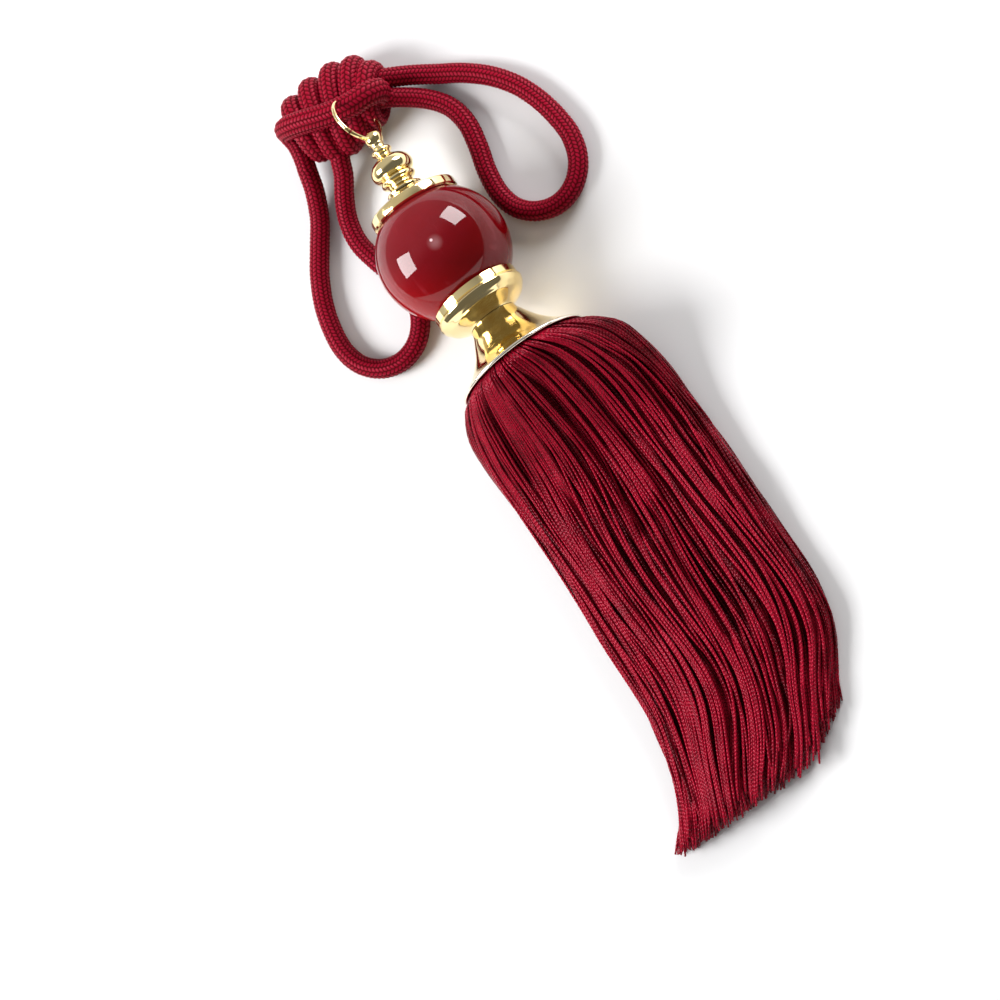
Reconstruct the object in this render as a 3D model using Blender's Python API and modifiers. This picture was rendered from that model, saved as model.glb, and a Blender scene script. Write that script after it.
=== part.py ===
"""A curtain tieback tassel laid out flat: a knotted, doubled rope, a split ring, a turned gilt finial,
dish, cup and bell, a glossy ball, and a long fringe that lies on the surface.

Metres, +Z up. The origin is the middle of the small flat that the ball rests on. The tassel lies along
Y: the rope is at +Y and the fringe runs to -Y."""

import math

import bmesh
import bpy
import numpy as np
from mathutils import Matrix, Vector

MM = 0.001

# ---------------------------------------------------------------- driving dimensions, in millimetres
GAP = 0.3                   # between pieces that touch on the real thing
REST_FLAT = 0.25            # how deep the small resting flats are

BALL_R = 22.5
UPPER_YAW = -3.0            # degrees: the finial and dish sit a little askew on the ball
LOWER_YAW = 2.4             # degrees: so do the cup, the bell and the fringe
BELL_RIM_R = 23.6
BELL_RIM_S = 46.0           # the rim's distance from the ball's centre

SEAT_R = 15.0               # the circle on which the dish and the cup hold the ball
EYE_S = 45.6                # the eye's distance from the ball's centre
EYE_R = 3.1

RING_R = 9.0                # the split ring's centre line
RING_WIRE_R = 0.75
RING_LONG = (-0.11, 0.994, 0.0)     # from the eye to the ring's far side
RING_RISE = (-0.327, 0.0, 0.944)    # towards the side that passes over the rope

ROPE_R = 3.4
WRAP_TOP_Z = 15.8           # the wraps' centre line at its highest
WRAP_CROWN = 1.4            # how much higher the wraps stand at their outer ends

# Turned profiles: (radius, distance from the ball's centre), each down the outer side from its top.
FINIAL_FOOT_S = 24.6
FINIAL_BODY = [
    (2.1, 42.6), (2.3, 41.6), (3.3, 40.9), (3.5, 40.0), (2.7, 39.2), (2.8, 38.4), (4.4, 37.5),
    (6.0, 36.2), (6.9, 34.4), (7.0, 32.8), (6.3, 31.3), (5.2, 30.3), (5.7, 29.5), (5.5, 28.6),
    (4.5, 27.7), (4.7, 26.5), (6.3, 25.5), (6.4, FINIAL_FOOT_S),
]
DISH_TOP = [
    (6.6, FINIAL_FOOT_S - GAP), (9.6, 23.0), (13.6, 21.2), (15.2, 20.6), (15.6, 19.9), (15.6, 17.7),
]
CUP_OUTSIDE = [
    (8.4, 28.0), (9.6, 26.9), (12.4, 25.6), (14.6, 23.8), (15.8, 21.8), (15.9, 20.9), (15.3, 20.5),
    (15.6, 20.1), (15.6, 17.7),
]
BELL_OUTSIDE = [
    (BELL_RIM_R, 45.3), (21.7, 44.3), (18.9, 42.5), (16.2, 40.2), (13.8, 37.6), (11.9, 35.0),
    (10.4, 32.4), (9.2, 30.2), (8.5, 28.0 + GAP),
]
BELL_WALL = 0.9
BELL_FLOOR_S = 42.6         # the bottom of the hollow that holds the fringe's head
BELL_FLOOR_R = 16.6

# The fringe: a grid of locks, columns across and rows up, one after the other in each row.
COLUMNS, ROWS = 20, 5
LOCK_COLUMNS = 3            # how many neighbours hang together as one lock of yarn
HEAD_R = 21.2
HEAD_BACK_R = 15.6
HEAD_BACK_S = BELL_FLOOR_S + GAP
HEAD_FACE_S = 45.6
ROOT_GAP = 0.12             # share of a cell that is left open around each root
# Stations along the fringe. share: of the way from the face to the tips; half_width and height: of
# the section; round: how much of the bell's round section is left; across: the section's middle, to
# +X; parted: how far the locks of yarn have drawn together. The first is the bell's own round.
FRINGE = [
    # share, half_width, height, round, across, parted
    (0.000, 21.2, 42.4, 1.00, 2.0, 0.00),
    (0.016, 25.0, 46.2, 0.95, 2.0, 0.05),
    (0.050, 30.8, 43.0, 0.70, 2.2, 0.12),
    (0.110, 33.6, 34.5, 0.40, 1.6, 0.20),
    (0.240, 34.4, 21.0, 0.10, 0.8, 0.28),
    (0.520, 35.0, 14.5, 0.00, 0.4, 0.38),
    (0.760, 34.8, 12.5, 0.00, -1.6, 0.42),
    (0.885, 33.2, 10.0, 0.00, -11.0, 0.45),
    (1.000, 31.0, 8.0, 0.00, -23.0, 0.48),
]
SIDE_DROP = 0.78            # how low the lying pile is at its sides: 0 is a box, 1 runs out to nothing
WAVE = 0.8                  # how far the yarn sways to either side
WAVE_ALONG, WAVE_ACROSS = 0.055, 0.16       # radians of the sway for each millimetre
FRINGE_TIP_Y = -204.0
TIP_SPREAD = 8.0            # how far the tips' lengths differ
TIP_WIDTH = 0.5             # a lock's width at its tip, as a share of its width before
EDGE_PULL = 8.0             # how much sooner the strands of the right-hand corner end

# The knot: five wraps side by side. out and in are a wrap's two bends, seen from above.
WRAPS = [
    # out x, out y, in x, in y
    (-17.2, 77.4, -18.6, 58.6),
    (-8.6, 78.4, -14.2, 55.2),
    (0.6, 77.6, -9.0, 53.8),
    (7.8, 74.6, -3.4, 54.0),
    (11.8, 69.2, 2.8, 55.6),
]
# The band crosses over the wraps, turns down round their left end and leaves as a strand of rope.
BAND = [
    (10.8, 60.2, 11.0), (11.0, 60.0, 16.2), (8.2, 59.8, 20.2), (3.0, 59.9, 21.9), (-2.8, 61.2, 22.3),
    (-8.6, 63.4, 22.1), (-14.2, 66.1, 21.3), (-19.6, 68.7, 19.0), (-23.2, 70.5, 15.2),
    (-24.5, 70.2, 10.8), (-24.6, 66.6, 8.8), (-25.4, 61.8, 8.4), (-27.0, 56.6, 8.0),
]
# What the wraps close on: the rope's turns inside the knot, packed solid.
CORE_MIDDLE = (-5.0, 65.6, 9.6)
CORE_REACH = (18.4, 10.6, 6.4)
CORE_TURN = -16.0           # degrees, so that it lies along the row of wraps
# The other strands that leave the knot, from inside the wraps to where the free rope takes over.
STUBS = [
    [(-4.0, 66.2, 10.4), (4.0, 67.0, 10.6), (10.6, 65.6, 10.0), (15.8, 63.2, 8.2)],
    [(-6.0, 60.0, 10.2), (2.0, 60.8, 10.4), (7.6, 59.6, 9.8), (12.6, 57.2, 8.0)],
    [(-6.0, 61.0, 10.2), (-11.0, 57.4, 10.0), (-14.6, 52.6, 9.2), (-17.4, 47.8, 7.6)],
]
# The free rope, one closed route from strand to strand for each arm of the tie: out along the
# surface, round a bight beside the ball and back beside itself.
RIGHT_ARM = [
    (15.8, 63.2, 8.2), (21.4, 60.0, 6.0), (28.6, 55.0, 3.9), (35.8, 49.6, 3.6), (42.6, 42.8, 3.6),
    (48.0, 34.6, 3.6), (51.4, 25.4, 3.6), (53.0, 15.8, 3.6), (52.8, 8.2, 3.6), (50.0, 1.0, 3.6),
    (44.4, -4.2, 3.6), (37.0, -6.0, 3.6), (29.6, -3.6, 3.6), (24.2, 2.0, 3.6), (22.2, 9.4, 3.6),
    (23.0, 18.0, 3.6), (25.4, 26.8, 3.6), (26.8, 35.6, 3.6), (25.2, 43.8, 3.6), (20.2, 51.0, 4.8),
    (12.6, 57.2, 8.0),
]
LEFT_ARM = [
    (-27.0, 56.6, 8.0), (-29.2, 50.2, 7.0), (-34.0, 42.6, 4.3), (-39.8, 35.2, 3.6),
    (-45.6, 27.2, 3.6), (-50.2, 18.2, 3.6), (-52.8, 8.6, 3.6), (-53.2, 0.4, 3.6),
    (-50.8, -6.8, 3.6), (-45.4, -12.2, 3.6), (-38.0, -14.4, 3.6), (-30.4, -12.4, 3.6),
    (-24.8, -6.8, 3.6), (-22.6, 0.6, 3.6), (-23.4, 9.6, 3.6), (-26.0, 18.4, 3.6),
    (-27.6, 27.2, 3.6), (-26.2, 35.4, 3.9), (-22.2, 42.2, 5.6), (-17.4, 47.8, 7.6),
]
ARM_START = 0.6             # from a strand's end face to the free rope's
ARM_POINTS = 28             # on each arm's curve
ARM_BEND_LENGTH = 24.0      # draws those points together in the bends

CRIMSON = (0.27, 0.012, 0.035, 1.0)
GILT = (0.83, 0.62, 0.22, 1.0)
RESIN_RED = (0.22, 0.006, 0.012, 1.0)

BALL_CENTRE = Vector((0.0, 0.0, BALL_R - REST_FLAT))
# The bell is wider than the ball, so its axis climbs until the rim's flat lies level with the ball's.
LOWER_PITCH = math.degrees(math.asin((BELL_RIM_R - BALL_R) / BELL_RIM_S))


# ---------------------------------------------------------------- helpers
def clear_scene():
    for obj in list(bpy.data.objects):
        bpy.data.objects.remove(obj, do_unlink=True)


def new_collection(name, hidden=False):
    made = bpy.data.collections.new(name)
    bpy.context.scene.collection.children.link(made)
    made.hide_render = hidden
    return made


def material(name, colour, roughness, metallic=0.0):
    made = bpy.data.materials.new(name)
    made.use_nodes = True
    shader = made.node_tree.nodes["Principled BSDF"]
    shader.inputs["Base Color"].default_value = colour
    shader.inputs["Roughness"].default_value = roughness
    shader.inputs["Metallic"].default_value = metallic
    made.diffuse_color = colour
    return made


def add(name, data, collection, finish=None, parent=None):
    made = bpy.data.objects.new(name, data)
    collection.objects.link(made)
    if finish:
        data.materials.append(finish)
    if parent:
        made.parent = parent
    return made


def as_helper(obj):
    obj.hide_render = True
    obj.display_type = "WIRE"
    return obj


def smooth(mesh, sharp_degrees=40):
    mesh.shade_smooth()
    mesh.set_sharp_from_angle(angle=math.radians(sharp_degrees))


def boolean(obj, other, operation, solver="EXACT"):
    modifier = obj.modifiers.new(f"{operation.lower()} {other.name}", "BOOLEAN")
    modifier.operation = operation
    modifier.object = other
    modifier.solver = solver


def axis_frame(name, pitch, yaw, collection):
    """An empty at the ball's centre whose local Z runs out along a turned part's axis."""
    made = bpy.data.objects.new(name, None)
    collection.objects.link(made)
    made.location = BALL_CENTRE * MM
    made.rotation_euler = (math.radians(pitch), 0.0, math.radians(yaw))
    return made


def turned(name, profile, steps, finish, parent, collection):
    """A profile of (radius, distance) in millimetres, turned about its parent's axis."""
    mesh = bpy.data.meshes.new(name)
    mesh.from_pydata(
        [(radius * MM, 0.0, distance * MM) for radius, distance in profile],
        [(i, i + 1) for i in range(len(profile) - 1)],
        [],
    )
    made = add(name, mesh, collection, finish, parent)
    screw = made.modifiers.new("turn", "SCREW")
    screw.axis = "Z"
    screw.steps = screw.render_steps = steps
    screw.use_merge_vertices = True
    screw.merge_threshold = 0.00001
    screw.use_smooth_shade = True
    return made


def seat(radius, points):
    """The hollow that a sphere of this radius sits in, from the rim of the seat to the axis."""
    widest = math.asin(SEAT_R / radius)
    return [
        (radius * math.sin(widest * (1 - i / points)), radius * math.cos(widest * (1 - i / points)))
        for i in range(points + 1)
    ]


def curve_through(points, count, bend_length=0.0):
    """count points along one smooth curve through the given points: at equal steps, where each radian
    that it turns counts as bend_length more of its length."""
    knots = np.array(points, float)
    knots = np.vstack([2 * knots[0] - knots[1], knots, 2 * knots[-1] - knots[-2]])
    fine = []
    for a, b, c, d in zip(knots, knots[1:], knots[2:], knots[3:]):
        for t in np.linspace(0.0, 1.0, 12, endpoint=False):
            fine.append(
                0.5 * (2 * b + (c - a) * t + (2 * a - 5 * b + 4 * c - d) * t**2 + (3 * b - a - 3 * c + d) * t**3)
            )
    fine = np.array(fine + [knots[-2]])
    steps = np.diff(fine, axis=0)
    lengths = np.linalg.norm(steps, axis=1)
    headings = steps / lengths[:, None]
    turns = np.linalg.norm(np.diff(headings, axis=0, prepend=headings[:1]), axis=1)
    run = np.concatenate([[0.0], np.cumsum(lengths + bend_length * turns)])
    at = np.linspace(0.0, run[-1], count)
    return np.stack([np.interp(at, run, fine[:, k]) for k in range(3)], axis=1)


def rope(name, points, collection, finish=None, closed=False):
    """A rope along points in millimetres, as a curve object with filled ends."""
    curve = bpy.data.curves.new(name, "CURVE")
    curve.dimensions = "3D"
    curve.bevel_depth = ROPE_R * MM
    curve.bevel_resolution = 3
    curve.use_fill_caps = not closed
    spline = curve.splines.new("POLY")
    spline.points.add(len(points) - 1)
    for point, place in zip(spline.points, points):
        point.co = (*(np.array(place) * MM), 1.0)
    spline.use_cyclic_u = closed
    return add(name, curve, collection, finish)


def as_mesh(obj, collection):
    """The rope's curve as one closed mesh object, which a Boolean can take."""
    graph = bpy.context.evaluated_depsgraph_get()
    mesh = bpy.data.meshes.new_from_object(obj.evaluated_get(graph))
    shape = bmesh.new()
    shape.from_mesh(mesh)
    bmesh.ops.remove_doubles(shape, verts=shape.verts, dist=0.00001)
    bmesh.ops.recalc_face_normals(shape, faces=shape.faces)
    shape.to_mesh(mesh)
    shape.free()
    name, place = obj.name, obj.matrix_world.copy()
    bpy.data.objects.remove(obj, do_unlink=True)
    made = add(name, mesh, collection)
    made.matrix_world = place
    return made


def without_pockets(obj):
    """The object's evaluated mesh, without the small voids that joined strands close in between them."""
    bpy.context.view_layer.update()
    graph = bpy.context.evaluated_depsgraph_get()
    mesh = bpy.data.meshes.new_from_object(obj.evaluated_get(graph))
    shape = bmesh.new()
    shape.from_mesh(mesh)
    left, surfaces = set(shape.verts), []
    while left:
        surface, edge = set(), {left.pop()}
        while edge:
            surface |= edge
            edge = {e.other_vert(v) for v in edge for e in v.link_edges} - surface
        left -= surface
        surfaces.append(surface)
    surfaces.sort(key=len)
    bmesh.ops.delete(shape, geom=[v for surface in surfaces[:-1] for v in surface], context="VERTS")
    shape.to_mesh(mesh)
    shape.free()
    return mesh


# ---------------------------------------------------------------- turned pieces
def make_ball(collection, floor):
    bpy.ops.mesh.primitive_uv_sphere_add(segments=36, ring_count=18, radius=BALL_R * MM)
    ball = bpy.context.object
    ball.name = "ball"
    for old in list(ball.users_collection):
        old.objects.unlink(ball)
    collection.objects.link(ball)
    ball.location = BALL_CENTRE * MM
    ball.data.materials.append(material("red resin", RESIN_RED, 0.06))
    smooth(ball.data)
    boolean(ball, floor, "DIFFERENCE")


def make_upper_metal(collection, axis, gilt, ring_channel):
    dish = [(0.0, DISH_TOP[0][1])] + DISH_TOP + seat(BALL_R + GAP, 5)
    turned("dish", dish, 36, gilt, axis, collection)

    bead = [
        (EYE_R * math.sin(turn), EYE_S + EYE_R * math.cos(turn))
        for turn in np.linspace(0.0, math.radians(138), 8)
    ]
    finial = turned("finial", bead + FINIAL_BODY + [(0.0, FINIAL_FOOT_S)], 28, gilt, axis, collection)
    boolean(finial, ring_channel, "DIFFERENCE")


def make_lower_metal(collection, axis, gilt, floor):
    cup = [(0.0, CUP_OUTSIDE[0][1])] + CUP_OUTSIDE + seat(BALL_R + GAP, 5)
    turned("cup", cup, 36, gilt, axis, collection)

    bell = (
        [(0.0, BELL_FLOOR_S), (BELL_FLOOR_R, BELL_FLOOR_S)]
        + [(BELL_RIM_R - BELL_WALL, BELL_RIM_S), (BELL_RIM_R, BELL_RIM_S)]
        + BELL_OUTSIDE
        + [(0.0, BELL_OUTSIDE[-1][1])]
    )
    boolean(turned("bell", bell, 44, gilt, axis, collection), floor, "DIFFERENCE")


# ---------------------------------------------------------------- ring
def ring_matrix(upper_axis):
    """The ring's own frame: it passes through the eye, and its plane is spanned by its two leads."""
    eye = upper_axis.matrix_world @ Vector((0.0, 0.0, EYE_S * MM))
    long_way = Vector(RING_LONG).normalized()
    rise = Vector(RING_RISE)
    rise = (rise - rise.dot(long_way) * long_way).normalized()
    made = Matrix((long_way, rise, long_way.cross(rise))).transposed().to_4x4()
    made.translation = eye + long_way * RING_R * MM
    return made


def torus(name, wire_r, place, collection, finish=None):
    bpy.ops.mesh.primitive_torus_add(
        major_radius=RING_R * MM, minor_radius=wire_r * MM, major_segments=32, minor_segments=8
    )
    made = bpy.context.object
    made.name = name
    for old in list(made.users_collection):
        old.objects.unlink(made)
    collection.objects.link(made)
    made.matrix_world = place
    smooth(made.data)
    if finish:
        made.data.materials.append(finish)
    return made


# ---------------------------------------------------------------- knot and arms
def wrap_path(out_x, out_y, in_x, in_y, steps=18):
    """One turn of rope round the knot's middle: a tall loop over the line between its two bends."""
    outer, inner = np.array((out_x, out_y)), np.array((in_x, in_y))
    low_z = ROPE_R - REST_FLAT
    path = []
    for turn in np.linspace(0.0, 2 * math.pi, steps, endpoint=False):
        along, up = math.cos(turn), math.sin(turn)
        crown = WRAP_CROWN * max(along, 0.0) * max(up, 0.0)
        place = (outer + inner) / 2 + (outer - inner) / 2 * along
        path.append((*place, (WRAP_TOP_Z + low_z) / 2 + (WRAP_TOP_Z - low_z) / 2 * up + crown))
    return path


def make_knot(collection, helpers, yarn, floor, ring_channel):
    strands = [
        as_mesh(rope(f"wrap_{i + 1}", wrap_path(*row), helpers, closed=True), helpers)
        for i, row in enumerate(WRAPS)
    ]
    strands.append(as_mesh(rope("band", curve_through(BAND, 16), helpers), helpers))
    for i, route in enumerate(STUBS):
        strands.append(as_mesh(rope(f"stub_{i + 1}", curve_through(route, 5), helpers), helpers))
    bpy.ops.mesh.primitive_uv_sphere_add(
        segments=16, ring_count=8, radius=MM, location=Vector(CORE_MIDDLE) * MM,
        scale=CORE_REACH, rotation=(0.0, 0.0, math.radians(CORE_TURN)),
    )
    strands.append(bpy.context.object)
    strands[-1].name = "core"
    # The exact solver leaves open edges where this many strands meet.
    joined = strands[0]
    for strand in strands[1:]:
        boolean(joined, strand, "UNION", "MANIFOLD")
    boolean(joined, ring_channel, "DIFFERENCE", "MANIFOLD")
    boolean(joined, floor, "DIFFERENCE", "MANIFOLD")
    knot = add("rope_knot", without_pockets(joined), collection, yarn)
    smooth(knot.data, 60)
    for strand in strands:
        bpy.data.objects.remove(strand, do_unlink=True)


def make_arms(collection, yarn):
    for name, route in (("rope_arm_right", RIGHT_ARM), ("rope_arm_left", LEFT_ARM)):
        path = curve_through(route, ARM_POINTS, ARM_BEND_LENGTH)
        for end, beside in ((0, 1), (-1, -2)):
            step = path[beside] - path[end]
            path[end] += step / np.linalg.norm(step) * ARM_START
        rope(name, path, collection, yarn)


# ---------------------------------------------------------------- fringe
def column_edges(row, parted):
    """The columns' edges, from -1 to 1, drawn together into locks of yarn as they part."""
    edges = []
    for column in range(COLUMNS):
        first = (column + row) // LOCK_COLUMNS * LOCK_COLUMNS - row
        low, high = max(first, 0), min(first + LOCK_COLUMNS, COLUMNS)
        middle = (low + high) / 2
        draw = 1 - parted * (0.55 + 0.45 * math.sin(1.7 * middle + 2.3 * row))
        edges.append(
            tuple(2 * (middle + (at - middle) * draw) / COLUMNS - 1 for at in (column, column + 1))
        )
    return edges


def station_at(share):
    """The row of FRINGE at any share of the way to the tips."""
    rows = np.array(FRINGE)
    return [share] + [np.interp(share, rows[:, 0], rows[:, k]) for k in range(1, rows.shape[1])]


def section_point(across, up, station, root_frame):
    """A point of the fringe's section. across and up run from -1 to 1 over the section."""
    share, half_width, height, roundness, middle, _ = station
    disc_x, disc_z = across * math.sqrt(1 - up * up / 2), up * math.sqrt(1 - across * across / 2)
    face = root_frame @ Vector((HEAD_R * disc_x, HEAD_R * disc_z, HEAD_FACE_S))
    if share == 0:
        return face
    crown = math.sqrt(1 - SIDE_DROP * across * across)
    pile = Vector((middle + half_width * across, 0.0, height * crown * (up + 1) / 2))
    ball = Vector((middle + half_width * disc_x, 0.0, height * (disc_z + 1) / 2))
    made = pile.lerp(ball, roundness)
    made.y = face.y + (FRINGE_TIP_Y - face.y) * share
    made.x += WAVE * math.sin(WAVE_ALONG * made.y + WAVE_ACROSS * made.x) * (1 - roundness)
    return made


def lock_section(row, column, station, root_frame, squeeze):
    """The four corners of one lock at a station."""
    left, right = column_edges(row, station[5])[column]
    low, high = 2 * row / ROWS - 1, 2 * (row + 1) / ROWS - 1
    side, lift = (right - left) / 2 * (1 - squeeze), (high - low) / 2 * (1 - squeeze)
    middle = (left + right) / 2
    base = low if row == 0 else (low + high) / 2 - lift
    corners = [
        section_point(x, y, station, root_frame)
        for x, y in (
            (middle - side, base), (middle + side, base),
            (middle + side, base + 2 * lift), (middle - side, base + 2 * lift),
        )
    ]
    for corner in corners:
        corner.z = max(corner.z, 0.0)
    return corners


def lock_reach(row, column):
    """How far along this lock's tip lies, as a share of the fringe's full length."""
    wave = math.sin(2.9 * column + 4.1 * row) + 0.6 * math.sin(7.7 * column - 2.3 * row)
    across = 2 * (column + 0.5) / COLUMNS - 1
    edge = EDGE_PULL * max(across - 0.45, 0.0) ** 2 / 0.3
    return 1 - (TIP_SPREAD * (1 + wave / 1.6) / 2 + edge) / abs(FRINGE_TIP_Y)


def make_fringe(collection, yarn, root_frame):
    shape = bmesh.new()
    scale = Matrix.Scale(MM, 4)

    def vertex(place):
        return shape.verts.new(scale @ place)

    def ring_faces(first, second):
        """The sides between two sections. Sides that face each other across a gap are split along the
        same diagonal, so that they stay apart where the locks twist."""
        for i in range(len(first)):
            after = (i + 1) % len(first)
            a, b, c, d = first[i], first[after], second[after], second[i]
            halves = ((a, b, c), (a, c, d)) if 2 * i < len(first) else ((a, b, d), (b, c, d))
            for half in halves:
                shape.faces.new(half)

    grid = [
        [
            vertex(section_point(2 * i / COLUMNS - 1, 2 * j / ROWS - 1, FRINGE[0], root_frame))
            for i in range(COLUMNS + 1)
        ]
        for j in range(ROWS + 1)
    ]
    for row in range(ROWS):
        for column in range(COLUMNS):
            cell = [
                grid[row][column], grid[row][column + 1],
                grid[row + 1][column + 1], grid[row + 1][column],
            ]
            reach = lock_reach(row, column)
            for share, *_ in FRINGE:
                squeeze = 1 - TIP_WIDTH if share == 1 else ROOT_GAP
                station = station_at(min(share, reach))
                after = [
                    vertex(corner)
                    for corner in lock_section(row, column, station, root_frame, squeeze)
                ]
                ring_faces(cell, after)
                cell = after
            shape.faces.new(cell)
    # The head behind the roots: the grid's outline, drawn back to a smaller round.
    outline = grid[0][:-1] + [line[-1] for line in grid[:-1]]
    outline += grid[-1][:0:-1] + [line[0] for line in grid[:0:-1]]
    face_middle = root_frame @ Vector((0.0, 0.0, HEAD_FACE_S))
    back_middle = root_frame @ Vector((0.0, 0.0, HEAD_BACK_S))
    back = [
        vertex(back_middle + (corner.co / MM - face_middle) * (HEAD_BACK_R / HEAD_R)) for corner in outline
    ]
    ring_faces(back, outline)
    shape.faces.new(back[::-1])

    mesh = bpy.data.meshes.new("fringe")
    bmesh.ops.recalc_face_normals(shape, faces=shape.faces)
    shape.to_mesh(mesh)
    shape.free()
    smooth(mesh, 50)
    add("fringe", mesh, collection, yarn)


def main():
    clear_scene()
    tassel = new_collection("curtain tieback tassel")
    helpers = new_collection("cutters", hidden=True)
    yarn = material("crimson yarn", CRIMSON, 0.55)
    gilt = material("gilt metal", GILT, 0.16, 1.0)

    bpy.ops.mesh.primitive_cube_add(size=0.5)
    floor = as_helper(bpy.context.object)
    floor.name = "floor"
    floor.location = (0.0, 0.0, -0.25)

    upper = axis_frame("upper axis", -90.0, UPPER_YAW, tassel)
    lower = axis_frame("lower axis", 90.0 - LOWER_PITCH, LOWER_YAW, tassel)
    bpy.context.view_layer.update()

    place = ring_matrix(upper)
    torus("hook_ring", RING_WIRE_R, place, tassel, gilt)
    ring_channel = as_helper(torus("ring_channel", RING_WIRE_R + GAP + 0.05, place, helpers))

    make_ball(tassel, floor)
    make_upper_metal(tassel, upper, gilt, ring_channel)
    make_lower_metal(tassel, lower, gilt, floor)
    make_knot(tassel, helpers, yarn, floor, ring_channel)
    make_arms(tassel, yarn)
    root_frame = lower.matrix_world.copy()
    root_frame.translation /= MM
    make_fringe(tassel, yarn, root_frame)


main()
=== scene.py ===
"""The looks of a curtain tieback tassel that lies flat: a knotted, doubled rope of braided yarn, a split
ring, turned gilt fittings, a red resin ball and a long fringe of twisted yarn, on a pale studio floor.

The part's own frame: +Z up, the origin under the ball, the tassel along Y with its rope at +Y. Lengths
are in millimetres here and become metres where a mesh is made. A name that ends in _R is a radius, and one
that ends in _S is a distance from the ball's centre along the axis of the fittings."""

import math

import bpy
import numpy as np
from mathutils import Euler, Matrix, Vector


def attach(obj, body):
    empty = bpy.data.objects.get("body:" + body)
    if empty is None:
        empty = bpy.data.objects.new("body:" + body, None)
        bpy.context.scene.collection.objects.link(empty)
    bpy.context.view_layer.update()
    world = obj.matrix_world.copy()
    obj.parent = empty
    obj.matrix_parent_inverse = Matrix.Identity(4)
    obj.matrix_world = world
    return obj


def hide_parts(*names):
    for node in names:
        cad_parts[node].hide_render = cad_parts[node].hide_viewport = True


MM = 0.001
FULL_TURN = 2 * math.pi
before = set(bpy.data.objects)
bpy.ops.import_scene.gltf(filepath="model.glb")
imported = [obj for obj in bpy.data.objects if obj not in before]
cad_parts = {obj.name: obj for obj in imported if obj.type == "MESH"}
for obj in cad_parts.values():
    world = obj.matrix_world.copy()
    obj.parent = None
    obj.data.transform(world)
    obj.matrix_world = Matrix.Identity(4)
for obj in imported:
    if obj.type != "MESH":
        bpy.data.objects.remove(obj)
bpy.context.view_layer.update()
random = np.random.default_rng(7)

# ---------------- sizes, as the solids have them
GAP = 0.3  # between the ball and its seats
REST_FLAT = 0.25  # the height of the ball that its flat takes away
BALL_R = 22.5
BALL_CENTRE = Vector((0.0, 0.0, BALL_R - REST_FLAT))
UPPER_YAW = -3.0  # degrees
LOWER_YAW = 2.4
BELL_RIM_R = 23.6
BELL_RIM_S = 46.0
LOWER_PITCH = math.degrees(math.asin((BELL_RIM_R - BALL_R) / BELL_RIM_S))
SEAT_R = 15.0
EYE_S = 45.6
EYE_R = 3.1
RING_R = 9.0
RING_WIRE_R = 0.75
RING_LONG = (-0.11, 0.994, 0.0)  # from the eye across the ring
RING_RISE = (-0.327, 0.0, 0.944)
ROPE_R = 3.4
HEAD_R = 21.2
HEAD_BACK_R = 15.6
HEAD_BACK_S = 42.9
HEAD_FACE_S = 45.6
ROOT_R = 20.3  # the strands leave the head inside this radius
ROOT_DEPTH = 0.6  # and this far under its face

# ---------------- camera
CAMERA_PLACE = (0.22575, -0.25250, 0.84794)
CAMERA_RIGHT = (0.7560, -0.5511, -0.3531)
CAMERA_DOWN = (-0.5860, -0.8102, 0.0099)
CAMERA_FORWARD = (-0.2916, 0.1994, -0.9355)
CAMERA_LENS, SENSOR = 98.136, 36.0
CLIP_START, CLIP_END = 0.01, 50.0  # metres


def placed(name, data):
    """A new object of this data, in the scene."""
    made = bpy.data.objects.new(name, data)
    bpy.context.scene.collection.objects.link(made)
    return made


def make_camera():
    data = bpy.data.cameras.new("camera")
    data.lens, data.sensor_width = CAMERA_LENS, SENSOR
    data.clip_start, data.clip_end = CLIP_START, CLIP_END
    camera = placed("camera", data)
    right, down, forward = (Vector(v) for v in (CAMERA_RIGHT, CAMERA_DOWN, CAMERA_FORWARD))
    camera.matrix_world = Matrix.LocRotScale(
        Vector(CAMERA_PLACE), Matrix((right, -down, -forward)).transposed().to_quaternion(), None
    )
    bpy.context.scene.camera = camera


# ---------------- materials
# Colours are linear red, green, blue and an opaque 1.
GILT, GILT_WARM = (1.0, 0.83, 0.44, 1), (1.0, 0.76, 0.34, 1)
PALE_GILT, PALE_GILT_WARM = (0.96, 0.91, 0.80, 1), (0.94, 0.86, 0.70, 1)
GILT_ROUGHNESS, PALE_GILT_ROUGHNESS = 0.07, 0.12
HANDLED = 2.2  # how many times rougher the plating is where it was handled
# The second of these is painted light: the paler red where light would shine through the resin.
RESIN_DEEP, RESIN_PAINTED_GLOW = (0.105, 0.0006, 0.0015, 1), (0.33, 0.0035, 0.007, 1)
RESIN_MILK = (0.24, 0.014, 0.028, 1)
RESIN_VEIN = (0.38, 0.05, 0.07, 1)
# Painted highlight: the white of the small glint on the resin.
RESIN_GLINT_WHITE = (0.72, 0.50, 0.52, 1)
# The first of these is painted shade, for the troughs between the braid's floats.
BRAID_PAINTED_SHADE, BRAID_FLOAT = (0.045, 0.0004, 0.0016, 1), (0.265, 0.0035, 0.0185, 1)
BRAID_DULL = (0.14, 0.001, 0.005, 1)
BRAID_TINT = (1.0, 0.18, 0.28, 1)
YARN_DEEP, YARN_LIT = (0.050, 0.0004, 0.0015, 1), (0.300, 0.004, 0.019, 1)
# Painted shade in the grooves between the yarn's plies.
YARN_GROOVE_SHADE = (0.02, 0.0002, 0.0005, 1)
YARN_TINT = (1.0, 0.32, 0.42, 1)
FLOOR_PALE, FLOOR_PALER = (0.66, 0.66, 0.67, 1), (0.69, 0.69, 0.695, 1)
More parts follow.
